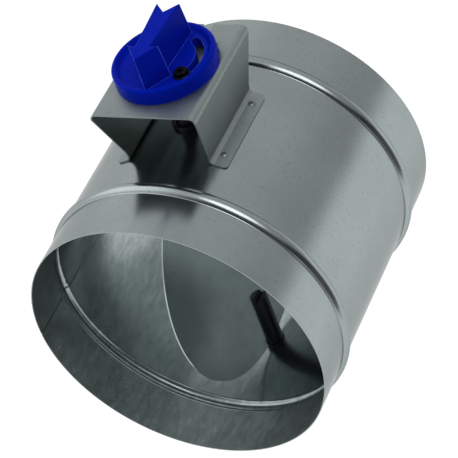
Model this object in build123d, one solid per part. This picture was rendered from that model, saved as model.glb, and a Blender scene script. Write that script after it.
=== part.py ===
from build123d import *
import os
from math import asin, atan, cos, degrees, radians, sin, sqrt

# Round volume-control damper, set by hand, for a round ventilation duct.
# Millimetres. X runs along the duct from the inlet to the outlet, and Z runs up
# the blade's shaft to the knob. The origin is the middle of the inlet's end
# plane. The blade is drawn fully open, edge-on to the air.

# Duct connection
duct_bore = 200.0  # inside diameter of the duct that slides over each end
duct_play = 0.4  # between the spigot and that duct, on the radius

# Casing
casing_length = 200.0
casing_sheet = 0.6
bead_inset = 38.8  # from a casing end to the middle of its bead
bead_width = 10.0
bead_height = 2.6
bead_foot = 0.9  # radius between the casing and the bead's round crown

# Fits
running_gap = 0.06  # a spindle in its bush, on the radius
hole_gap = 0.1  # a neck or shank in a punched hole, on the radius
seat_gap = 0.05  # between faces that rest on each other
turning_gap = 0.3  # between faces that pass each other as the blade turns
cut_past = 1.0  # how far a cut runs beyond the face that it opens

# Blade
blade_gap = 3.0  # between the blade's edge and the casing
blade_sheet = 1.0
peg_inset = 14.0  # from the blade's edge to the middle of a peg hole
peg_radius = 2.2
peg_height = 0.4

# Blade holders
prong_radius = 6.4
shaft_radius = 5.0
grip_length = 39.5  # how far the prongs reach in from the blade's edge
flare_width = 2.2  # the V at the prongs' tips, on each side of the slit
flare_depth = 3.8
prong_round = 1.2
square_side = 7.0
square_length = 18.0
groove_depth = 1.0
spindle_tail = 2.5  # what stands below the clip

# Bushes in the casing
bush_wall = 1.5
bush_body_radius = 7.4
bush_top_radius = 6.3
bush_flange_radius = 10.3
bush_flange_height = 3.0
upper_bush_height = 14.0
lower_bush_height = 6.0
bush_chamfer = 0.6
lip_overhang = 0.5
lip_height = 0.9

# Bush in the bracket's plate
plate_bush_radius = 7.8
plate_bush_length = 9.0  # what hangs below the plate
plate_lip_height = 1.2  # what stands above it

# Spring clip on the lower spindle
clip_radius = 8.0
clip_sheet = 1.0
clip_mouth = 6.8

# Bracket
bracket_sheet = 1.0
bracket_height = 42.7  # from the casing to the plate's upper face
plate_length = 88.0
plate_width = 74.2
tunnel_width = 54.6  # between the legs where they reach the casing
flange_length = 68.0
flange_reach = 39.5  # along the casing from its top line to a flange's edge
top_bend = 3.2  # inside radius
foot_bend = 3.2  # inside radius
flange_corner = 3.0

# Notch in the end of the bracket's plate and the pip pressed up beside the knob
notch_width = 7.0
notch_depth = 9.0
notch_offset = -10.0  # sideways from the shaft
notch_round = 1.5
pip_radius = 1.3
pip_height = 0.7
pip_place = 35.4  # from the shaft
pip_angle = -43.0  # degrees from the duct's axis

# Rivets
rivet_pitch = 47.0  # along the duct
rivet_line = 34.0  # along the casing from its top line
rivet_radius = 1.6
rivet_head_radius = 2.4
rivet_head_height = 1.0
rivet_bulb_radius = 2.3
rivet_bulb_height = 2.2
rivet_eye_radius = 0.75
rivet_eye_depth = 0.9

# Knob
knob_radius = 33.7
knob_height = 10.8  # rim, from its lower edge
skirt_gap = 0.5  # from the bracket's plate to the rim's lower edge
skirt_wall = 2.6
dish_depth = 3.0  # from the rim's crest to the floor
rim_crest = 2.7  # flat top of the rim, from the knob's outside
rim_slope = 2.6  # from the crest's inner edge to the dish's foot
floor_wall = 3.0
rim_outer_round = 2.0
rim_inner_round = 1.5
dish_round = 1.4
skirt_notch_angle = -65.0  # degrees from the duct's axis
skirt_notch_width = 8.0
skirt_notch_height = 4.5
hub_radius = 8.6
rib_wall = 1.6
rib_angles = [15.0, 65.0, 115.0, 165.0]
mould_round = 0.6

# Curved slot in the knob and the screw that locks it
slot_margin = 2.6  # from the dish's foot to the slot's outer edge
slot_width = 5.6
slot_collar = 1.5  # wall that lines the slot below the floor
blade_travel = 90.0  # degrees, from open to closed
lock_angle = -127.0  # degrees, where the screw stands in the bracket's plate

# Arrow grip
arrow_height = 23.8
arrow_tip = 28.6  # ahead of the shaft
barb_back = 15.2
barb_half = 10.5
barb_sweep = 0.8
neck_half = 5.1
tail_back = 25.0  # behind the shaft
tail_half = 7.9
tail_notch = 8.0
arrow_draft = 1.0  # degrees
arrow_wall = 2.2
arrow_web = 7.5  # half length of the solid web round the square

# Lock screw and nut
screw_radius = 2.45
screw_clearance = 0.45
screw_flange_radius = 5.3
screw_flange_height = 1.0
screw_hex_width = 8.0
screw_head_height = 3.2
screw_chamfer = 0.5
screw_tail = 1.5  # below the nut
recess_length = 4.4
recess_width = 1.1
recess_depth = 1.2
nut_width = 8.0
nut_height = 4.0

# Worked-out places
casing_radius = duct_bore / 2 - duct_play
bore_radius = casing_radius - casing_sheet
shaft_x = casing_length / 2
blade_radius = bore_radius - blade_gap
plate_z = casing_radius + bracket_height
plate_under = plate_z - bracket_sheet
bush_bore = shaft_radius + running_gap
bush_neck = bush_bore + bush_wall
prong_top = bore_radius - lip_height - turning_gap
hub_z = plate_z + plate_lip_height + turning_gap
skirt_z = plate_z + skirt_gap
crest_z = skirt_z + knob_height
floor_z = crest_z - dish_depth
floor_under = floor_z - floor_wall
crest_radius = knob_radius - rim_crest
dish_radius = crest_radius - rim_slope
slot_radius = dish_radius - slot_margin - slot_width / 2
seat_radius = casing_radius + seat_gap
lock_x = slot_radius * cos(radians(lock_angle))
lock_y = slot_radius * sin(radians(lock_angle))


def rod(radius, low, high):
    """Cylinder about Z between two heights."""
    return Pos(0, 0, low) * extrude(Circle(radius), high - low)


def plug(outline, low, high):
    """Flat outline drawn up between two heights."""
    return Pos(0, 0, low) * extrude(outline, high - low)


def dome(radius, height, low):
    """Cap of a ball about Z, standing on a given height."""
    ball = (radius**2 + height**2) / (2 * height)
    return Pos(0, 0, low + height - ball) * Sphere(ball) & rod(2 * radius, low, low + height)


def duct_cylinder(radius):
    """Cylinder along the duct, centred on the shaft."""
    return Rot(0, 90, 0) * Cylinder(radius, casing_length * 2)


def at_shaft(shape):
    """Move a shape from the Z axis to the blade's shaft."""
    return Pos(shaft_x, 0, 0) * shape


def rivet_places():
    """The four places where the bracket's flanges are riveted down."""
    lean = degrees(rivet_line / casing_radius)
    return [
        Pos(along * rivet_pitch / 2, 0, 0) * Rot(-side * lean, 0, 0)
        for along in (-1, 1)
        for side in (-1, 1)
    ]


def bead_line(middle, depth):
    """Length section of one bead from foot to foot, a given depth below the outer face."""
    half = bead_width / 2
    # A foot arc and the crown's arc meet at this slope, at one end of both radii
    slope = 2 * atan(bead_height / half)
    crown = half / sin(slope) - bead_foot
    crown_z = casing_radius + bead_height - crown
    turn = degrees(slope)
    line = [CenterArc((middle, crown_z), crown - depth, 90 - turn, 2 * turn)]
    for way in (-1, 1):
        foot = (middle + way * half, casing_radius + bead_foot)
        line.append(CenterArc(foot, bead_foot + depth, -90, -way * turn))
    return line


def sheet_line(depth):
    """Length section of the casing's sheet, a given depth below its outer face."""
    level = casing_radius - depth
    line = []
    start = 0.0
    for middle in (bead_inset, casing_length - bead_inset):
        line.append(Line((start, level), (middle - bead_width / 2, level)))
        line += bead_line(middle, depth)
        start = middle + bead_width / 2
    line.append(Line((start, level), (casing_length, level)))
    return line


def casing():
    outer = sheet_line(0)
    inner = sheet_line(casing_sheet)
    ends = [Line((x, bore_radius), (x, casing_radius)) for x in (0, casing_length)]
    section = make_face(Wire([piece.edge() for piece in outer + inner + ends]))
    tube = revolve(Plane.XZ * section, axis=Axis.X)
    holes = rod(bush_neck + hole_gap, -duct_bore, duct_bore)
    for place in rivet_places():
        holes += place * rod(rivet_radius + hole_gap, bore_radius / 2, duct_bore)
    return tube - at_shaft(holes)


def blade():
    disc = Rot(90, 0, 0) * Cylinder(blade_radius, blade_sheet)
    peg_z = blade_radius - peg_inset
    for z in (peg_z, -peg_z):
        disc -= Pos(0, 0, z) * Rot(90, 0, 0) * Cylinder(peg_radius + hole_gap, 2 * blade_sheet)
    return at_shaft(disc)


def prongs(top):
    """Slit spindle that grips the blade's upper edge, with its shaft up to a given height."""
    tip = blade_radius - grip_length
    slit = blade_sheet + 2 * seat_gap
    spindle = rod(prong_radius, tip, prong_top)
    spindle = fillet(spindle.edges().group_by(Axis.Z)[0], prong_round)
    spindle -= Pos(0, 0, (tip + blade_radius + seat_gap) / 2) * Box(
        3 * prong_radius, slit, blade_radius + seat_gap - tip
    )
    mouth = Polyline(
        (-slit / 2 - flare_width, tip - seat_gap),
        (slit / 2 + flare_width, tip - seat_gap),
        (0, tip + flare_depth * (slit / 2 + flare_width) / flare_width),
        close=True,
    )
    spindle -= extrude(Plane.YZ * make_face(mouth), 2 * prong_radius, both=True)
    for side in (-1, 1):
        peg = Cylinder(peg_radius, peg_height, align=(Align.CENTER, Align.CENTER, Align.MIN))
        spindle += Pos(0, side * slit / 2, blade_radius - peg_inset) * Rot(side * 90, 0, 0) * peg
    return spindle + rod(shaft_radius, prong_top, top)


def upper_blade_holder():
    square = plug(Rectangle(square_side, square_side), hub_z, hub_z + square_length)
    return at_shaft(prongs(hub_z) + square)


def lower_blade_holder():
    clip_z = casing_radius + lower_bush_height + turning_gap
    groove = clip_sheet + 2 * seat_gap
    spindle = prongs(clip_z + groove + spindle_tail)
    spindle = chamfer(spindle.edges().group_by(Axis.Z)[-1], mould_round)
    spindle -= rod(2 * shaft_radius, clip_z, clip_z + groove) - rod(
        shaft_radius - groove_depth, clip_z, clip_z + groove
    )
    return at_shaft(Rot(180, 0, 0) * spindle)


def casing_bush(height):
    """Snap-in bush with a saddle under its flange, at the top of the casing."""
    flange_top = casing_radius + bush_flange_height
    flange = rod(bush_flange_radius, bore_radius / 2, flange_top)
    flange = chamfer(flange.edges().group_by(Axis.Z)[-1], bush_chamfer)
    body = Cone(
        bush_body_radius,
        bush_top_radius,
        height - bush_flange_height,
        align=(Align.CENTER, Align.CENTER, Align.MIN),
    )
    outside = flange + Pos(0, 0, flange_top) * body
    outside -= duct_cylinder(seat_radius)
    neck = rod(bush_neck, bore_radius - lip_height, seat_radius)
    lip = rod(bush_neck + lip_overhang, bore_radius - lip_height, bore_radius)
    lip &= duct_cylinder(bore_radius - seat_gap)
    return outside + neck + lip - rod(bush_bore, 0, duct_bore)


def upper_bush():
    return at_shaft(casing_bush(upper_bush_height))


def lower_bush():
    return at_shaft(Rot(180, 0, 0) * casing_bush(lower_bush_height))


def plate_bush():
    """Bush pushed up through the bracket's plate, with a snap lip above it."""
    body = rod(plate_bush_radius, plate_under - plate_bush_length, plate_under - seat_gap)
    body = chamfer(body.edges().group_by(Axis.Z)[0], bush_chamfer)
    top = plate_z + plate_lip_height
    neck = rod(bush_neck, plate_under - plate_bush_length / 2, top)
    lip = rod(bush_neck + lip_overhang, plate_z + seat_gap, top)
    lip = chamfer(lip.edges().group_by(Axis.Z)[-1], lip_overhang)
    return at_shaft(body + neck + lip - rod(bush_bore, 0, duct_bore))


def retaining_clip():
    ring = Circle(clip_radius) - Circle(shaft_radius - groove_depth + seat_gap)
    ring -= Pos(clip_radius, 0) * Rectangle(2 * clip_radius, clip_mouth)
    corners = ring.vertices().sort_by(Axis.X)[-4:]
    ring = fillet(corners, mould_round)
    clip_z = casing_radius + lower_bush_height + turning_gap + seat_gap
    return at_shaft(Rot(180, 0, 0) * plug(ring, clip_z, clip_z + clip_sheet))


def bracket_section():
    """Cross-section of the hat-shaped sheet, across the duct."""
    foot = (tunnel_width / 2, sqrt(seat_radius**2 - (tunnel_width / 2) ** 2))
    shoulder = (plate_width / 2 - bracket_sheet, plate_under)
    foot_angle = degrees(asin(foot[0] / seat_radius))
    flange_arc = degrees(flange_reach / casing_radius) - foot_angle
    legs = Polyline(foot, shoulder, (-shoulder[0], shoulder[1]), (-foot[0], foot[1]))
    right = CenterArc((0, 0), seat_radius, 90 - foot_angle - flange_arc, flange_arc)
    left = CenterArc((0, 0), seat_radius, 90 + foot_angle, flange_arc)
    under = Wire([right.edge()] + list(legs.edges()) + [left.edge()])
    bends = under.vertices().sort_by(Axis.Y)
    under = under.fillet_2d(top_bend, bends[-2:])
    feet = [v for v in under.vertices() if abs(v.Y - foot[1]) < seat_gap]
    under = under.fillet_2d(foot_bend + bracket_sheet, feet)
    return make_face(under.offset_2d(bracket_sheet, side=Side.RIGHT))


def bracket():
    hat = extrude(Plane.YZ * bracket_section(), plate_length / 2, both=True)
    bend_z = plate_under - top_bend
    foot_z = casing_radius + foot_bend
    profile = Polyline(
        (plate_length / 2, plate_z + bracket_sheet),
        (plate_length / 2, bend_z),
        (flange_length / 2, foot_z),
        (flange_length / 2, 0),
        (-flange_length / 2, 0),
        (-flange_length / 2, foot_z),
        (-plate_length / 2, bend_z),
        (-plate_length / 2, plate_z + bracket_sheet),
        close=True,
    )
    hat &= extrude(Plane.XZ * make_face(profile), plate_width, both=True)
    flange_edge = seat_radius * sin(flange_reach / casing_radius) - bracket_sheet
    corners = [
        edge
        for edge in hat.edges()
        if edge.length < 1.5 * bracket_sheet
        and abs(edge.center().Y) > flange_edge
        and edge.center().Z < foot_z
    ]
    hat = fillet(corners, flange_corner)
    low = plate_under - cut_past
    high = plate_z + cut_past
    holes = rod(bush_neck + hole_gap, low, high)
    holes += Pos(lock_x, lock_y, 0) * rod(screw_radius + screw_clearance, low, high)
    for place in rivet_places():
        holes += place * rod(rivet_radius + hole_gap, bore_radius, plate_under)
    turn = radians(pip_angle)
    pip = Pos(pip_place * cos(turn), pip_place * sin(turn), 0) * dome(
        pip_radius, pip_height, plate_z
    )
    return at_shaft(hat - holes - end_notch() + pip)


def end_notch():
    """Notch in the outlet end of the bracket's plate."""
    notch = Pos(plate_length / 2, notch_offset) * Rectangle(2 * notch_depth, notch_width)
    notch = fillet(notch.vertices().sort_by(Axis.X)[:2], notch_round)
    return plug(notch, plate_under - cut_past, plate_z + cut_past)


def rivet():
    """Pulled rivet standing on the casing's top line."""
    head_z = seat_radius + bracket_sheet + seat_gap
    head = dome(rivet_head_radius, rivet_head_height, head_z)
    head -= rod(rivet_eye_radius, head_z + rivet_head_height - rivet_eye_depth, duct_bore)
    bulb_top = bore_radius - seat_gap
    bulb = rod(rivet_bulb_radius, bulb_top - rivet_bulb_height, bulb_top)
    bulb = chamfer(bulb.edges().group_by(Axis.Z)[0], rivet_bulb_radius / 3)
    return head + rod(rivet_radius, bulb_top - rivet_bulb_height / 2, head_z) + bulb


def knob_body():
    """Dial with its rim and skirt, without the grip."""
    face_line = FilletPolyline(
        (knob_radius, skirt_z),
        (knob_radius, crest_z),
        (crest_radius, crest_z),
        (dish_radius, floor_z),
        (0, floor_z),
        radius=[rim_outer_round, rim_inner_round, dish_round],
    )
    back_line = Polyline(
        (0, floor_z),
        (0, floor_under),
        (knob_radius - skirt_wall, floor_under),
        (knob_radius - skirt_wall, skirt_z),
        (knob_radius, skirt_z),
    )
    dial = revolve(Plane.XZ * make_face(face_line + back_line), axis=Axis.Z)
    hub = rod(hub_radius, hub_z, floor_z)
    ribs = Part()
    rib_low = hub_z + turning_gap
    for angle in rib_angles:
        rib = Box(
            knob_radius - skirt_wall / 2,
            rib_wall,
            floor_z - floor_wall / 2 - rib_low,
            align=(Align.MIN, Align.CENTER, Align.MIN),
        )
        ribs += Rot(0, 0, angle) * Pos(0, 0, rib_low) * rib
    notch = Pos(knob_radius, 0, skirt_z) * Box(
        4 * skirt_wall, skirt_notch_width, 2 * skirt_notch_height
    )
    return dial - Rot(0, 0, skirt_notch_angle) * notch + hub + ribs


def lock_slot(width, low, high):
    """Curved slot that the lock screw stands in, between two heights."""
    track = CenterArc((0, 0), slot_radius, lock_angle, blade_travel)
    return plug(SlotArc(track, width), low, high)


def arrow_outline():
    half = [
        (-arrow_tip, 0),
        (-barb_back, barb_half),
        (-barb_back - barb_sweep, neck_half),
        (tail_back, tail_half),
        (tail_back - tail_notch, 0),
    ]
    return make_face(Polyline(*half, *[(x, -y) for x, y in half[-2:0:-1]], close=True))


def arrow_grip():
    """Arrow-shaped block, hollow from below but for a web round the square."""
    outline = arrow_outline()
    block = extrude(outline, -arrow_height, taper=-arrow_draft)
    block = Pos(0, 0, floor_z + arrow_height) * block
    block = fillet(block.edges().group_by(Axis.Z)[-1], mould_round)
    core = offset(outline, -arrow_wall, kind=Kind.INTERSECTION)
    core -= Rectangle(2 * arrow_web, 4 * barb_half)
    hollow = plug(core, hub_z, floor_z + arrow_height - arrow_wall)
    return block, hollow


def knob():
    block, hollow = arrow_grip()
    body = knob_body() + block
    body += lock_slot(slot_width + 2 * slot_collar, hub_z, floor_z)
    socket_side = square_side + 2 * seat_gap
    socket_top = hub_z + square_length + turning_gap
    socket = plug(Rectangle(socket_side, socket_side), hub_z - cut_past, socket_top)
    return at_shaft(body - hollow - socket - lock_slot(slot_width, skirt_z, crest_z))


def lock_screw():
    seat = floor_z + turning_gap
    top = seat + screw_head_height
    flange = rod(screw_flange_radius, seat, seat + screw_flange_height)
    flange = chamfer(flange.edges().group_by(Axis.Z)[-1], screw_chamfer)
    hexagon = RegularPolygon(screw_hex_width / 2, 6, major_radius=False)
    head = plug(hexagon, seat, top)
    head &= chamfer(
        rod(screw_hex_width / sqrt(3), seat, top).edges().group_by(Axis.Z)[-1], screw_chamfer
    )
    for turn in (0, 90):
        groove = Rectangle(recess_length, recess_width, rotation=turn)
        head -= plug(groove, top - recess_depth, top + cut_past)
    shank = rod(screw_radius, plate_under - nut_height - screw_tail, seat)
    shank = chamfer(shank.edges().group_by(Axis.Z)[0], screw_chamfer)
    return at_shaft(Pos(lock_x, lock_y, 0) * (flange + head + shank))


def lock_nut():
    hexagon = RegularPolygon(nut_width / 2, 6, major_radius=False)
    outline = hexagon - Circle(screw_radius + running_gap)
    body = plug(outline, plate_under - nut_height, plate_under)
    return at_shaft(Pos(lock_x, lock_y, 0) * body)


nodes = {
    "casing": casing(),
    "blade": blade(),
    "upper_blade_holder": upper_blade_holder(),
    "lower_blade_holder": lower_blade_holder(),
    "upper_bush": upper_bush(),
    "lower_bush": lower_bush(),
    "plate_bush": plate_bush(),
    "retaining_clip": retaining_clip(),
    "bracket": bracket(),
    "knob": knob(),
    "lock_screw": lock_screw(),
    "lock_nut": lock_nut(),
}
rivet_names = ["inlet_right", "inlet_left", "outlet_right", "outlet_left"]
for name, place in zip(rivet_names, rivet_places()):
    nodes["rivet_" + name] = at_shaft(place * rivet())

os.makedirs("parts", exist_ok=True)
for name, shape in nodes.items():
    export_step(shape, "parts/" + name + ".step")
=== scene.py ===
import math
from collections import namedtuple

import bmesh
import bpy
from mathutils import Euler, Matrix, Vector, noise
from mathutils.bvhtree import BVHTree


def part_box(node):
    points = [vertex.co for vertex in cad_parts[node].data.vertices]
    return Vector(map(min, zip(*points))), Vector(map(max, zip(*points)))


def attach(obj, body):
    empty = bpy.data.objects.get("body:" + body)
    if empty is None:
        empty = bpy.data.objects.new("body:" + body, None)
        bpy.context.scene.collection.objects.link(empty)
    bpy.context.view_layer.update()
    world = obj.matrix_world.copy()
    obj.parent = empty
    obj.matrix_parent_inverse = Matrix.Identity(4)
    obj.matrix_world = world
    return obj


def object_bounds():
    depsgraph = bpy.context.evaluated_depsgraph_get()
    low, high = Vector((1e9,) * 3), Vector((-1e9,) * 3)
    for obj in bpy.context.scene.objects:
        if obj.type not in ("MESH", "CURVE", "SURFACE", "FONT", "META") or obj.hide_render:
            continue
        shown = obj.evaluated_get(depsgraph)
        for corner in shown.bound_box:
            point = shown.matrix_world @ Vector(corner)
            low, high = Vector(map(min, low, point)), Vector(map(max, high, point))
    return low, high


bl_info = {
    "name": "Round damper",
    "version": (1, 0, 0),
    "blender": (4, 5, 0),
    "location": "View3D > Sidebar > Damper",
    "description": "Finishes, small details, light and camera for a round duct damper",
    "category": "Object",
}

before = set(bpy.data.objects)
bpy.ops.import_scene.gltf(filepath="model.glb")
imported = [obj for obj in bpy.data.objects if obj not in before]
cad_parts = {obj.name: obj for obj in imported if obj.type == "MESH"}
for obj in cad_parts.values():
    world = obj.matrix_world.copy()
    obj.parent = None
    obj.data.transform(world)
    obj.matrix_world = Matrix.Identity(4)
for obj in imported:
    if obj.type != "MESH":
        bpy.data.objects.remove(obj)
cad_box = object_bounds()

WHITE = (1, 1, 1, 1)

# Finishes of the damper

SheetLook = namedtuple("SheetLook", "shade blur clouds matt_share streaks")

# Each sheet part's look: its shade and blur multiply the user's sheet finish, clouds is
# how many of them there are to the metre, and matt_share is the share of matt oxide on
# it, on the casing's inside alone, streaked as strongly as streaks says. The shades are
# painted light and shade: the blade is a lighter and the bracket a darker copy of the
# casing's sheet colour
SHEET_LOOKS = {
    "casing": SheetLook(
        shade=1.0, blur=1.0, clouds=16.0, matt_share=0.22, streaks=0.30
    ),
    "bracket": SheetLook(
        shade=0.83, blur=2.2, clouds=26.0, matt_share=0.0, streaks=0.0
    ),
    "blade": SheetLook(
        shade=1.16, blur=0.62, clouds=20.0, matt_share=0.13, streaks=0.10
    ),
}
FASTENER_NODES = (
    "rivet_inlet_left",
    "rivet_inlet_right",
    "rivet_outlet_left",
    "rivet_outlet_right",
    "retaining_clip",
    "lock_nut",
)
NYLON_NODES = (
    "upper_blade_holder",
    "lower_blade_holder",
    "upper_bush",
    "lower_bush",
    "plate_bush",
)
SHEET_GLOSS_TINT = (0.62, 0.62, 0.62, 1.0)
FASTENER_ROUGHNESS = 0.44
SCREW_ROUGHNESS = 0.42
THREAD_ROUGHNESS = 0.35
NYLON_ROUGHNESS = 0.42
DIAL_ROUGHNESS = 0.30
DIAL_GLOSS = {
    "IOR": 1.10,
    "Specular IOR Level": 0.35,
    "Specular Tint": (0.15, 0.30, 1.0, 1.0),
}
# Depths of the moulds' textures, in metres
NYLON_TEXTURE = 0.000012
DIAL_TEXTURE = 0.000008
# How far from its sharp edges and creases a piece gets a painted glint, in metres, and
# how alike the rounded and the plain surface's directions are where that starts and where
# it is full
GLINT_REACH = 0.0005
EDGE_ALIKE = (0.985, 0.86)
EDGE_SAMPLES = 8
# Streaks of matt oxide: their axes' scales, where they fade between the casing's middle
# (0) and its ends (1), and how much of them is left in the middle
STREAK_AXES = (0.4, 1, 1)
MATT_FADE = (0.40, 0.72)
MATT_MIDDLE = 0.10

# The weld's finish, how much of the casing's length it leaves free at each end, and its
# steps along the casing and up each side of its ridge
WELD_SHADE = 0.66
WELD_ROUGHNESS = 0.34
WELD_CLOUDS = 90.0
WELD_MARGIN = 0.001
WELD_STEPS = 160
RIDGE_STEPS = 4

# The thread's steps in a turn, its half width, start above the screw's end and stop
# below the nut, in pitches, how deep its root is sunk in the shank and how high its ends
# stand, in metres, and how fast it fades to them
THREAD_STEPS = 40
THREAD_HALF = 0.4
THREAD_START = 0.75
THREAD_STOP = 0.5
THREAD_ROOT = 0.0001
THREAD_END = 0.00001
THREAD_FADE = 8

# The studio

# Paper on the floor, behind the damper as the camera sees it: its size and place in
# metres, and its grey, its glow and how much of the glow shows
FLOOR_RADIUS = 1.0
FLOOR_MIDDLE = (0.38, 0.21)
FLOOR_GREY = (0.86, 0.86, 0.86, 1)
FLOOR_GLOW = 1.10
FLOOR_GLOW_SHARE = 0.90

# The overhead lamp: its width, the way to it, its distance and what it points at
LAMP_WIDTH = 1.10
LAMP_WAY = (-0.20, -0.46, 0.865)
LAMP_DISTANCE = 1.5
LAMP_AIM = (0.1, 0, 0.05)

SENSOR_WIDTH = 36
CAMERA_REACH = 20

# How light the walls are, by how far a direction leans to the damper's left side (1) or
# its right side (-1)
WALL_GREYS = (
    (-0.90, 0.42),
    (-0.72, 0.45),
    (-0.60, 0.54),
    (-0.40, 0.62),
    (0.10, 0.66),
    (0.48, 0.82),
    (0.72, 0.90),
)
# Heights of a direction between which the white floor's level turns into the walls
FLOOR_LINE = (-0.12, 0.10)

Card = namedtuple("Card", "toward inner outer light")

# Soft-edged cards round the studio: direction, the angles in degrees between which the
# card's edge fades, and the light in its middle as a share of what is behind it. The
# walls' cards stop at the floor's level, and the low card hangs below it too.
WALL_CARDS = (
    Card(toward=(-0.93, -0.30, 0.22), inner=31.0, outer=51.0, light=0.14),
    Card(toward=(-0.06, 0.66, 0.75), inner=18.0, outer=36.0, light=1.75),
)
LOW_CARD = Card(toward=(-0.26, -0.94, -0.17), inner=26.0, outer=40.0, light=0.13)


# Sizes and colours that a user may change


class DamperFinishes(bpy.types.PropertyGroup):
    """Colours and gloss of the damper's finishes."""

    zinc: bpy.props.FloatVectorProperty(
        name="Galvanised sheet",
        description="Colour that the casing, bracket and blade reflect",
        subtype="COLOR",
        size=3,
        min=0,
        max=1,
        default=(0.355, 0.405, 0.402),
    )
    zinc_roughness: bpy.props.FloatProperty(
        name="Sheet roughness",
        description="Blur of the sheet's reflections",
        min=0.02,
        max=1,
        default=0.21,
    )
    fastener: bpy.props.FloatVectorProperty(
        name="Plated steel",
        description="Colour of the rivets, the clip and the nut",
        subtype="COLOR",
        size=3,
        min=0,
        max=1,
        default=(0.22, 0.25, 0.245),
    )
    nylon: bpy.props.FloatVectorProperty(
        name="Black nylon",
        description="Colour of the spindles and bushes",
        subtype="COLOR",
        size=3,
        min=0,
        max=1,
        default=(0.0085, 0.0078, 0.0200),
    )
    dial: bpy.props.FloatVectorProperty(
        name="Blue plastic",
        description="Colour of the knob",
        subtype="COLOR",
        size=3,
        min=0,
        max=1,
        default=(0.0012, 0.0112, 0.3600),
    )
    # Painted glint: the knob's sharp edges and creases take this lighter blue in place of
    # highlights
    dial_glint: bpy.props.FloatVectorProperty(
        name="Knob edges",
        description="Colour of the knob along its polished edges",
        subtype="COLOR",
        size=3,
        min=0,
        max=1,
        default=(0.090, 0.150, 1.0),
    )
    screw: bpy.props.FloatVectorProperty(
        name="Blackened steel",
        description="Colour of the lock screw",
        subtype="COLOR",
        size=3,
        min=0,
        max=1,
        default=(0.012, 0.014, 0.012),
    )


class DamperDetails(bpy.types.PropertyGroup):
    """Sizes of the small details."""

    weld_width: bpy.props.FloatProperty(
        name="Weld width",
        description="Width of the casing's lengthwise weld",
        subtype="DISTANCE",
        unit="LENGTH",
        min=0.0002,
        max=0.004,
        default=0.0016,
    )
    weld_height: bpy.props.FloatProperty(
        name="Weld height",
        description="How far the weld stands above the sheet",
        subtype="DISTANCE",
        unit="LENGTH",
        min=0.00005,
        max=0.001,
        default=0.00022,
    )
    weld_wander: bpy.props.FloatProperty(
        name="Weld wander",
        description="How far the weld strays sideways from a straight line",
        subtype="DISTANCE",
        unit="LENGTH",
        min=0,
        max=0.003,
        default=0.0007,
    )
    thread_pitch: bpy.props.FloatProperty(
        name="Thread pitch",
        description="Rise of the lock screw's thread in one turn",
        subtype="DISTANCE",
        unit="LENGTH",
        min=0.0003,
        max=0.002,
        default=0.0008,
    )
    thread_depth: bpy.props.FloatProperty(
        name="Thread depth",
        description="How far the thread's crest stands above the shank",
        subtype="DISTANCE",
        unit="LENGTH",
        min=0.00002,
        max=0.0005,
        default=0.00022,
    )


class DamperStage(bpy.types.PropertyGroup):
    """Floor, light and camera."""

    floor_drop: bpy.props.FloatProperty(
        name="Floor drop",
        description="How far the floor lies below the damper",
        subtype="DISTANCE",
        unit="LENGTH",
        min=0,
        max=2,
        default=0.34,
    )
    lamp_power: bpy.props.FloatProperty(
        name="Lamp power",
        description="Strength of the soft overhead lamp",
        subtype="POWER",
        unit="POWER",
        min=0,
        max=50,
        default=6.6,
    )
    camera_place: bpy.props.FloatVectorProperty(
        name="Camera place",
        description="Where the camera stands",
        subtype="TRANSLATION",
        unit="LENGTH",
        size=3,
        default=(-0.83105, -0.68753, 0.96339),
    )
    camera_turn: bpy.props.FloatVectorProperty(
        name="Camera turn",
        description="Which way the camera looks",
        subtype="EULER",
        unit="ROTATION",
        size=3,
        default=tuple(math.radians(a) for a in (48.3315, 16.5209, -67.6910)),
    )
    focal_length: bpy.props.FloatProperty(
        name="Focal length",
        description="Focal length on a 36 mm wide sensor, in millimetres",
        min=20,
        max=400,
        default=180.786,
    )


# Shader trees


def add_node(tree, kind, inputs=None, **settings):
    """Put a shader node in a tree, with its settings and its sockets' values or links."""
    made = tree.nodes.new(kind)
    for name, value in settings.items():
        setattr(made, name, value)
    for name, value in (inputs or {}).items():
        if isinstance(value, bpy.types.NodeSocket):
            tree.links.new(value, made.inputs[name])
        else:
            made.inputs[name].default_value = value
    return made


def calculated(tree, operation, first, second=0.0):
    """One step of arithmetic."""
    return add_node(
        tree, "ShaderNodeMath", {0: first, 1: second}, operation=operation
    ).outputs["Value"]


def scaled(tree, place, factors):
    """A place with each of its axes multiplied by its own factor."""
    return add_node(
        tree, "ShaderNodeVectorMath", {0: place, 1: factors}, operation="MULTIPLY"
    ).outputs["Vector"]


def agreement(tree, first, second):
    """How far two directions point the same way: their dot product."""
    return add_node(
        tree, "ShaderNodeVectorMath", {0: first, 1: second}, operation="DOT_PRODUCT"
    ).outputs["Value"]


def ranged(tree, value, start, stop, low=0.0, high=1.0, fade="LINEAR"):
    """Map a value from one range to another, and hold it at their ends."""
    inputs = {
        "Value": value,
        "From Min": start,
        "From Max": stop,
        "To Min": low,
        "To Max": high,
    }
    made = add_node(tree, "ShaderNodeMapRange", inputs, interpolation_type=fade)
    return made.outputs["Result"]


def spread(tree, value, low, high):
    """Map a 0 to 1 value to a range."""
    return ranged(tree, value, 0.0, 1.0, low, high)


def blended(tree, share, first, second, blend_type="MIX"):
    """Two colours, mixed or multiplied."""
    return add_node(
        tree,
        "ShaderNodeMix",
        {"Factor": share, "A": first, "B": second},
        data_type="RGBA",
        blend_type=blend_type,
    ).outputs["Result"]


def spots(tree, place, scale, detail, roughness=0.5, distortion=0.0):
    """Noise with so many spots to the metre, from 0 to 1."""
    inputs = {
        "Vector": place,
        "Scale": scale,
        "Detail": detail,
        "Roughness": roughness,
        "Distortion": distortion,
    }
    return add_node(tree, "ShaderNodeTexNoise", inputs).outputs["Fac"]


def bumped(tree, height, depth):
    """Surface with bumps of a depth in metres."""
    inputs = {"Height": height, "Strength": 1.0, "Distance": depth}
    return add_node(tree, "ShaderNodeBump", inputs)


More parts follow.
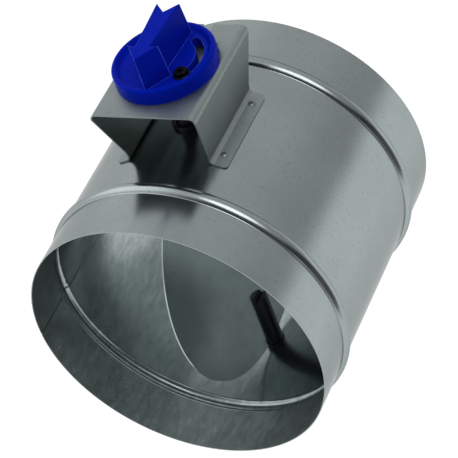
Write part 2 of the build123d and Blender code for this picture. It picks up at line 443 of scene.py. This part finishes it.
def shaded(colour, factor):
    """A colour made darker or lighter, as a socket takes it."""
    return tuple(c * factor for c in colour) + (1.0,)


def seen_directly(tree):
    """1 for camera, glossy and transmission rays, and 0 for the rest."""
    path = add_node(tree, "ShaderNodeLightPath").outputs
    pair = calculated(tree, "MAXIMUM", path["Is Camera Ray"], path["Is Glossy Ray"])
    return calculated(tree, "MAXIMUM", pair, path["Is Transmission Ray"])


# Finishes


def new_finish(name):
    """Empty node material with a principled shader already on its output."""
    material = bpy.data.materials.new(name)
    material.use_nodes = True
    tree = material.node_tree
    tree.nodes.clear()
    shader = add_node(tree, "ShaderNodeBsdfPrincipled")
    add_node(tree, "ShaderNodeOutputMaterial", {"Surface": shader.outputs["BSDF"]})
    return material, tree, shader


def wear(node_name, material):
    """Give a CAD node its finish."""
    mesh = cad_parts[node_name].data
    mesh.materials.clear()
    mesh.materials.append(material)


def along_edges(tree, reach):
    """1 along a piece's sharp edges, within a reach in metres, and 0 on its faces."""
    rounded = add_node(
        tree, "ShaderNodeBevel", {"Radius": reach}, samples=EDGE_SAMPLES
    )
    sharp = add_node(tree, "ShaderNodeNewGeometry")
    alike = agreement(tree, rounded.outputs["Normal"], sharp.outputs["Normal"])
    return ranged(tree, alike, *EDGE_ALIKE)


def toward_ends(tree, place):
    """1 near the casing's ends, and little in its middle."""
    low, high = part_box("casing")
    middle = (low.x + high.x) / 2
    axes = add_node(tree, "ShaderNodeSeparateXYZ", {"Vector": place})
    offset = calculated(tree, "SUBTRACT", axes.outputs["X"], middle)
    distance = calculated(tree, "ABSOLUTE", offset)
    start, stop = (share * middle for share in MATT_FADE)
    return ranged(tree, distance, start, stop, low=MATT_MIDDLE, fade="SMOOTHSTEP")


def dulled(tree, coordinates, share, streaks, inside_only):
    """Metal share and shade of a sheet with matt streaks and painted light, all over or
    inside alone.
    """
    place = coordinates["Object"]
    drawn_out = scaled(tree, place, STREAK_AXES)
    blotches = spots(tree, drawn_out, 210.0, 5.0, roughness=0.72)
    part = ranged(tree, blotches, 0.25, 0.75)
    # Painted light mixed with streaked tone: the shade is about 5 % lighter on average
    shade = spread(tree, part, 1.05 - streaks, 1.05 + streaks)
    matt = spread(tree, part, share * (1 - streaks), share * (1 + streaks))
    if inside_only:
        across = scaled(tree, place, (0, 1, 1))
        outward = agreement(tree, across, coordinates["Normal"])
        inner = calculated(tree, "LESS_THAN", outward, 0.0)
        matt = calculated(tree, "MULTIPLY", matt, inner)
        matt = calculated(tree, "MULTIPLY", matt, toward_ends(tree, place))
        shade = add_node(
            tree, "ShaderNodeMix", {"Factor": inner, "A": 1.0, "B": shade}
        ).outputs["Result"]
    return calculated(tree, "SUBTRACT", 1.0, matt), shade


def zinc_sheet(
    name, colour, roughness, cloud_scale, matt_share=0.0, streaks=0.0, inside_only=False
):
    """Rolled galvanised steel: faint clouds, fine speckle, a slightly wavy face."""
    material, tree, shader = new_finish(name)
    coordinates = add_node(tree, "ShaderNodeTexCoord").outputs
    place = coordinates["Object"]
    clouds = spots(tree, place, cloud_scale, 3.0, roughness=0.6)
    speckle = spots(tree, place, 420.0, 4.0, roughness=0.75)
    tone = blended(
        tree,
        spread(tree, clouds, -0.4, 1.4),
        shaded(colour, 0.90),
        shaded(colour, 1.08),
    )
    pits = add_node(tree, "ShaderNodeValToRGB", {"Fac": speckle})
    pit, face = pits.color_ramp.elements
    pit.position = 0.30
    pit.color = (0.80, 0.80, 0.80, 1)
    face.position = 0.44
    face.color = WHITE
    tone = blended(tree, 1.0, tone, pits.outputs["Color"], "MULTIPLY")
    shader.inputs["Metallic"].default_value = 1.0
    shader.inputs["Specular Tint"].default_value = SHEET_GLOSS_TINT
    # The casing's inside and the blade get painted light here, along with their streaked
    # tone
    if matt_share:
        metal, shade = dulled(tree, coordinates, matt_share, streaks, inside_only)
        tree.links.new(metal, shader.inputs["Metallic"])
        tone = blended(tree, 1.0, tone, shade, "MULTIPLY")
    tree.links.new(tone, shader.inputs["Base Color"])
    tree.links.new(
        spread(tree, clouds, roughness * 0.82, roughness * 1.22),
        shader.inputs["Roughness"],
    )
    waves = spots(tree, place, 22.0, 1.0, roughness=0.4)
    grain = spots(tree, place, 1600.0, 2.0, roughness=0.6)
    wavy = bumped(tree, waves, 0.00025)
    fine = bumped(tree, grain, 0.000012)
    tree.links.new(wavy.outputs["Normal"], fine.inputs["Normal"])
    tree.links.new(fine.outputs["Normal"], shader.inputs["Normal"])
    return material


def plated(name, colour, roughness):
    """Zinc-plated or blackened small parts, with a fine uneven surface."""
    material, tree, shader = new_finish(name)
    place = add_node(tree, "ShaderNodeTexCoord").outputs["Object"]
    grain = spots(tree, place, 900.0, 3.0)
    tone = blended(tree, grain, shaded(colour, 0.8), shaded(colour, 1.15))
    shader.inputs["Metallic"].default_value = 1.0
    tree.links.new(tone, shader.inputs["Base Color"])
    tree.links.new(
        spread(tree, grain, roughness * 0.8, roughness * 1.3),
        shader.inputs["Roughness"],
    )
    bump = bumped(tree, grain, 0.00002)
    tree.links.new(bump.outputs["Normal"], shader.inputs["Normal"])
    return material


def moulded(name, colour, roughness, texture_depth, glint_colour=None):
    """Injection-moulded plastic with a fine spark texture and soft flow marks.

    Where a glint colour is given, it is painted along the sharp edges and creases as a
    glint in place of highlights.
    """
    material, tree, shader = new_finish(name)
    place = add_node(tree, "ShaderNodeTexCoord").outputs["Object"]
    flow = spots(tree, place, 60.0, 2.0, distortion=1.2)
    spark = spots(tree, place, 2200.0, 2.0)
    tone = blended(tree, flow, shaded(colour, 0.88), shaded(colour, 1.08))
    if glint_colour:
        # Painted glint: a lighter colour along sharp edges and creases, in place of
        # highlights
        edges = along_edges(tree, GLINT_REACH)
        tone = blended(tree, edges, tone, shaded(glint_colour, 1.0))
    tree.links.new(tone, shader.inputs["Base Color"])
    tree.links.new(
        spread(tree, flow, roughness * 0.9, roughness * 1.15),
        shader.inputs["Roughness"],
    )
    bump = bumped(tree, spark, texture_depth)
    tree.links.new(bump.outputs["Normal"], shader.inputs["Normal"])
    return material


# Meshes


def surface_of(node_name):
    """Search tree over a CAD node's faces."""
    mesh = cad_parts[node_name].data
    points = [v.co.copy() for v in mesh.vertices]
    return BVHTree.FromPolygons(points, [tuple(p.vertices) for p in mesh.polygons])


def finish_mesh(builder, name, material, body):
    """Turn a bmesh into a smooth piece that rides on a body."""
    bmesh.ops.recalc_face_normals(builder, faces=builder.faces)
    mesh = bpy.data.meshes.new(name)
    builder.to_mesh(mesh)
    builder.free()
    mesh.materials.append(material)
    mesh.shade_smooth()
    piece = bpy.data.objects.new(name, mesh)
    bpy.context.scene.collection.objects.link(piece)
    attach(piece, body)
    return piece


def loft(builder, rings):
    """Skin a list of equal closed rings of points, and close both ends."""
    made = [[builder.verts.new(p) for p in ring] for ring in rings]
    count = len(made[0])
    for first, second in zip(made, made[1:]):
        for i in range(count):
            j = (i + 1) % count
            builder.faces.new((first[i], first[j], second[j], second[i]))
    builder.faces.new(made[0])
    builder.faces.new(made[-1])


# Operators


class DAMPER_OT_finish_sheet(bpy.types.Operator):
    """Give the casing, the bracket and the blade their galvanised finish"""

    bl_idname = "damper.finish_sheet"
    bl_label = "Finish the sheet metal"

    def execute(self, context):
        looks = context.scene.damper_finishes
        for node_name, look in SHEET_LOOKS.items():
            # Painted light and shade: each part's shade lightens or darkens the one sheet
            # colour
            material = zinc_sheet(
                "galvanised_" + node_name,
                [c * look.shade for c in looks.zinc],
                looks.zinc_roughness * look.blur,
                look.clouds,
                look.matt_share,
                look.streaks,
                inside_only=node_name == "casing",
            )
            wear(node_name, material)
        return {"FINISHED"}


class DAMPER_OT_finish_fasteners(bpy.types.Operator):
    """Give the rivets, the clip, the nut and the lock screw their plated finish"""

    bl_idname = "damper.finish_fasteners"
    bl_label = "Finish the fasteners"

    def execute(self, context):
        looks = context.scene.damper_finishes
        zinc = plated("zinc_plating", looks.fastener, FASTENER_ROUGHNESS)
        for node_name in FASTENER_NODES:
            wear(node_name, zinc)
        wear("lock_screw", plated("black_oxide", looks.screw, SCREW_ROUGHNESS))
        return {"FINISHED"}


class DAMPER_OT_finish_plastics(bpy.types.Operator):
    """Give the knob and the black nylon parts their moulded finish"""

    bl_idname = "damper.finish_plastics"
    bl_label = "Finish the plastics"

    def execute(self, context):
        looks = context.scene.damper_finishes
        nylon = moulded(
            "black_nylon_moulding", looks.nylon, NYLON_ROUGHNESS, NYLON_TEXTURE
        )
        for node_name in NYLON_NODES:
            wear(node_name, nylon)
        dial = moulded(
            "blue_dial_moulding",
            looks.dial,
            DIAL_ROUGHNESS,
            DIAL_TEXTURE,
            looks.dial_glint,
        )
        sockets = dial.node_tree.nodes["Principled BSDF"].inputs
        for name, value in DIAL_GLOSS.items():
            sockets[name].default_value = value
        wear("knob", dial)
        return {"FINISHED"}


class DAMPER_OT_add_weld(bpy.types.Operator):
    """Lay the casing's lengthwise weld along its left side, inside and outside"""

    bl_idname = "damper.add_weld"
    bl_label = "Lay the casing's weld"

    def execute(self, context):
        sizes = context.scene.damper_details
        zinc = context.scene.damper_finishes.zinc
        finish = zinc_sheet(
            "weld_line", [c * WELD_SHADE for c in zinc], WELD_ROUGHNESS, WELD_CLOUDS
        )
        skin = surface_of("casing")
        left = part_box("casing")[1].y
        inside = [(x, z, self.wall(skin, x, z, 0.0, 1.0)) for x, z in self.line(sizes)]
        self.lay(inside, -1, sizes, finish, "weld_inside", left)
        outside = [
            (x, z, self.wall(skin, x, z, left * 2, -1.0)) for x, z in self.line(sizes)
        ]
        self.lay(outside, 1, sizes, finish, "weld_outside", left)
        return {"FINISHED"}

    def line(self, sizes):
        """Places along the casing with the weld's sideways wander."""
        low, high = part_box("casing")
        covered = 1 - 2 * WELD_MARGIN
        for i in range(WELD_STEPS + 1):
            x = low.x + (high.x - low.x) * (WELD_MARGIN + covered * i / WELD_STEPS)
            stray = noise.noise(Vector((x * 28, 3.1, 0.7)))
            stray += 0.5 * noise.noise(Vector((x * 90, 8.2, 1.9)))
            yield x, sizes.weld_wander * stray

    def wall(self, skin, x, z, start, way):
        """Where the casing's wall stands on the left side."""
        hit, _, _, _ = skin.ray_cast(Vector((x, start, z)), Vector((0, way, 0)))
        if hit is None:
            raise RuntimeError("The weld found no wall at x = %.3f" % x)
        return hit.y

    def lay(self, places, side, sizes, finish, name, limit):
        """A low rounded ridge over the wall, kept inside the casing's own box."""
        builder = bmesh.new()
        rings = []
        half = sizes.weld_width / 2
        for x, z, y in places:
            swell = 1 + 0.25 * noise.noise(Vector((x * 300, 0, side)))
            ring = []
            for step in range(-RIDGE_STEPS, RIDGE_STEPS + 1):
                share = step / RIDGE_STEPS
                rise = sizes.weld_height * swell * (1 - share * share)
                level = min(y + side * rise, limit)
                ring.append(Vector((x, level, z + share * half)))
            sunk = y - side * sizes.weld_height / 2
            ring.append(Vector((x, sunk, z + half * 0.9)))
            ring.append(Vector((x, sunk, z - half * 0.9)))
            rings.append(ring)
        loft(builder, rings)
        finish_mesh(builder, name, finish, "casing")


class DAMPER_OT_add_thread(bpy.types.Operator):
    """Cut the thread on the end of the lock screw that shows below its nut"""

    bl_idname = "damper.add_thread"
    bl_label = "Cut the lock screw's thread"

    def execute(self, context):
        sizes = context.scene.damper_details
        screw_low, screw_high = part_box("lock_screw")
        nut_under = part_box("lock_nut")[0].z
        centre = (screw_low + screw_high) / 2
        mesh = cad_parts["lock_screw"].data
        tail = [v.co for v in mesh.vertices if v.co.z < nut_under]
        radius = max(math.hypot(p.x - centre.x, p.y - centre.y) for p in tail)
        start = screw_low.z + sizes.thread_pitch * THREAD_START
        stop = nut_under - sizes.thread_pitch * THREAD_STOP
        turns = (stop - start) / sizes.thread_pitch
        steps = max(int(turns * THREAD_STEPS), 8)
        builder = bmesh.new()
        rings = []
        for i in range(steps + 1):
            share = i / steps
            angle = 2 * math.pi * turns * share
            height = start + (stop - start) * share
            fade = min(1, THREAD_FADE * share, THREAD_FADE * (1 - share))
            crest = sizes.thread_depth * fade + THREAD_END
            ring = []
            for out, up in (
                (-THREAD_ROOT, -THREAD_HALF),
                (crest, 0),
                (-THREAD_ROOT, THREAD_HALF),
            ):
                point = (
                    centre.x + (radius + out) * math.cos(angle),
                    centre.y + (radius + out) * math.sin(angle),
                    height + up * sizes.thread_pitch,
                )
                ring.append(Vector(point))
            rings.append(ring)
        loft(builder, rings)
        steel = context.scene.damper_finishes.screw
        finish = plated("thread_steel", steel, THREAD_ROUGHNESS)
        finish_mesh(builder, "lock_screw_thread", finish, "lock_screw")
        return {"FINISHED"}


class DAMPER_OT_set_stage(bpy.types.Operator):
    """Put up the floor, the soft lights and the camera"""

    bl_idname = "damper.set_stage"
    bl_label = "Set the stage"

    def execute(self, context):
        stage = context.scene.damper_stage
        self.floor(cad_box[0].z - stage.floor_drop)
        self.lamp(stage)
        self.sky()
        camera = bpy.data.cameras.new("photo_camera")
        camera.sensor_width = SENSOR_WIDTH
        camera.lens = stage.focal_length
        camera.clip_end = CAMERA_REACH
        holder = bpy.data.objects.new("photo_camera", camera)
        holder.location = stage.camera_place
        holder.rotation_euler = Euler(stage.camera_turn)
        context.scene.collection.objects.link(holder)
        context.scene.camera = holder
        context.scene.view_settings.view_transform = "Standard"
        return {"FINISHED"}

    def floor(self, height):
        """White paper that the damper's shadow falls on."""
        builder = bmesh.new()
        bmesh.ops.create_circle(builder, cap_ends=True, segments=96, radius=FLOOR_RADIUS)
        mesh = bpy.data.meshes.new("studio_floor")
        builder.to_mesh(mesh)
        builder.free()
        piece = bpy.data.objects.new("studio_floor", mesh)
        piece.location = (FLOOR_MIDDLE[0], FLOOR_MIDDLE[1], height)
        bpy.context.scene.collection.objects.link(piece)
        material = bpy.data.materials.new("studio_paper")
        material.use_nodes = True
        tree = material.node_tree
        tree.nodes.clear()
        paper = add_node(tree, "ShaderNodeBsdfDiffuse", {"Color": FLOOR_GREY})
        lit = add_node(
            tree, "ShaderNodeEmission", {"Color": WHITE, "Strength": FLOOR_GLOW}
        )
        mixed = add_node(
            tree,
            "ShaderNodeMixShader",
            {
                0: spread(tree, seen_directly(tree), 0.0, FLOOR_GLOW_SHARE),
                1: paper.outputs["BSDF"],
                2: lit.outputs["Emission"],
            },
        )
        add_node(
            tree, "ShaderNodeOutputMaterial", {"Surface": mixed.outputs["Shader"]}
        )
        mesh.materials.append(material)

    def lamp(self, stage):
        """One wide soft lamp over the damper."""
        light = bpy.data.lights.new("overhead_softbox", "AREA")
        light.shape = "DISK"
        light.size = LAMP_WIDTH
        light.energy = stage.lamp_power
        holder = bpy.data.objects.new("overhead_softbox", light)
        way = Vector(LAMP_WAY).normalized()
        holder.location = Vector(LAMP_AIM) + way * LAMP_DISTANCE
        holder.rotation_euler = way.to_track_quat("Z", "Y").to_euler()
        bpy.context.scene.collection.objects.link(holder)

    def sky(self):
        """Pale studio with soft cards, which the camera itself sees as plain white."""
        world = bpy.data.worlds.new("studio")
        world.use_nodes = True
        tree = world.node_tree
        tree.nodes.clear()
        way = add_node(tree, "ShaderNodeTexCoord").outputs["Generated"]
        axes = add_node(tree, "ShaderNodeSeparateXYZ", {"Vector": way})
        across = ranged(tree, axes.outputs["Y"], -1.0, 1.0)
        wall = add_node(tree, "ShaderNodeValToRGB", {"Fac": across})
        ramp = wall.color_ramp
        while len(ramp.elements) < len(WALL_GREYS):
            ramp.elements.new(0.5)
        for element, (lean, grey) in zip(ramp.elements, WALL_GREYS):
            element.position = (lean + 1) / 2
            element.color = (grey, grey, grey, 1)
        below = ranged(
            tree, axes.outputs["Z"], *FLOOR_LINE, low=1.0, high=0.0, fade="SMOOTHSTEP"
        )
        room = wall.outputs["Color"]
        for card in WALL_CARDS:
            room = self.hang(tree, way, room, card)
        room = blended(tree, below, room, WHITE)
        room = self.hang(tree, way, room, LOW_CARD)
        path = add_node(tree, "ShaderNodeLightPath").outputs
        colour = blended(tree, path["Is Camera Ray"], room, WHITE)
        glow = add_node(tree, "ShaderNodeBackground", {"Color": colour})
        add_node(
            tree, "ShaderNodeOutputWorld", {"Surface": glow.outputs["Background"]}
        )
        bpy.context.scene.world = world

    def hang(self, tree, way, room, card):
        """Multiply the room's light by one soft-edged card."""
        facing = agreement(tree, way, Vector(card.toward).normalized())
        share = ranged(
            tree,
            facing,
            math.cos(math.radians(card.outer)),
            math.cos(math.radians(card.inner)),
            low=1.0,
            high=card.light,
            fade="SMOOTHSTEP",
        )
        return blended(tree, 1.0, room, share, "MULTIPLY")


class DAMPER_PT_sidebar(bpy.types.Panel):
    """The damper's operators, sizes and colours"""

    bl_idname = "DAMPER_PT_sidebar"
    bl_label = "Round damper"
    bl_space_type = "VIEW_3D"
    bl_region_type = "UI"
    bl_category = "Damper"

    def draw(self, context):
        layout = self.layout
        for operator in STEPS:
            layout.operator(operator.bl_idname)
        for group_name in GROUPS:
            group = getattr(context.scene, group_name)
            box = layout.box()
            for prop in type(group).__annotations__:
                box.prop(group, prop)


STEPS = (
    DAMPER_OT_finish_sheet,
    DAMPER_OT_finish_fasteners,
    DAMPER_OT_finish_plastics,
    DAMPER_OT_add_weld,
    DAMPER_OT_add_thread,
    DAMPER_OT_set_stage,
)
GROUPS = {
    "damper_finishes": DamperFinishes,
    "damper_details": DamperDetails,
    "damper_stage": DamperStage,
}


def register():
    for kind in (*GROUPS.values(), *STEPS, DAMPER_PT_sidebar):
        bpy.utils.register_class(kind)
    for name, group in GROUPS.items():
        setattr(bpy.types.Scene, name, bpy.props.PointerProperty(type=group))


def unregister():
    for name in GROUPS:
        delattr(bpy.types.Scene, name)
    for kind in (DAMPER_PT_sidebar, *reversed(STEPS), *reversed(GROUPS.values())):
        bpy.utils.unregister_class(kind)


def main():
    register()
    bpy.ops.damper.finish_sheet()
    bpy.ops.damper.finish_fasteners()
    bpy.ops.damper.finish_plastics()
    bpy.ops.damper.add_weld()
    bpy.ops.damper.add_thread()
    bpy.ops.damper.set_stage()


if __name__ == "__main__":
    main()
